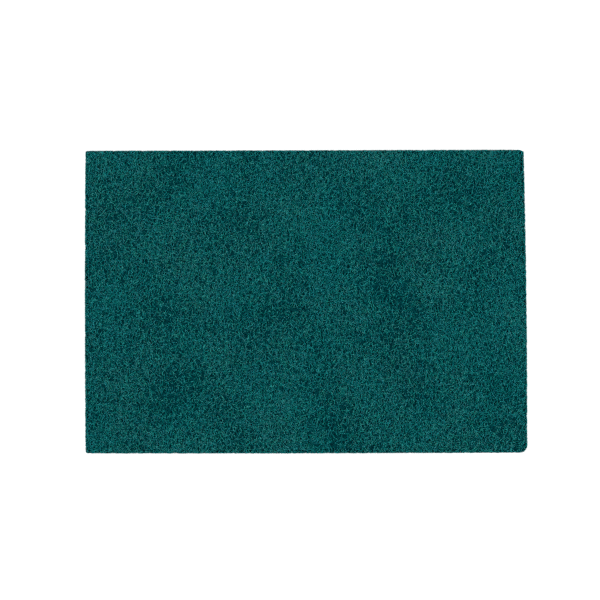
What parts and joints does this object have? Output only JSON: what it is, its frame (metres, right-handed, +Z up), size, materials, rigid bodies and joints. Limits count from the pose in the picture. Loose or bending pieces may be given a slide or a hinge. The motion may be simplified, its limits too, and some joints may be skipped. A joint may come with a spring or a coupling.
{
  "type": "floor sanding pad",
  "caption": "Flat rectangular floor sanding pad: one sheet of nonwoven abrasive fibre web that a floor machine's driver grips and rubs over the floor.",
  "frame": {"origin": "middle of the underside, on the floor that the pad lies on", "axes": "+X along the pad's long side, +Y across it, +Z up through its thickness"},
  "size_m": [0.4519, 0.3101, 0.01],
  "materials": {
    "fiber_web": "matte"
  },
  "bodies": {
    "root": {"fiber_pad": "fiber_web"}
  },
  "joints": []
}
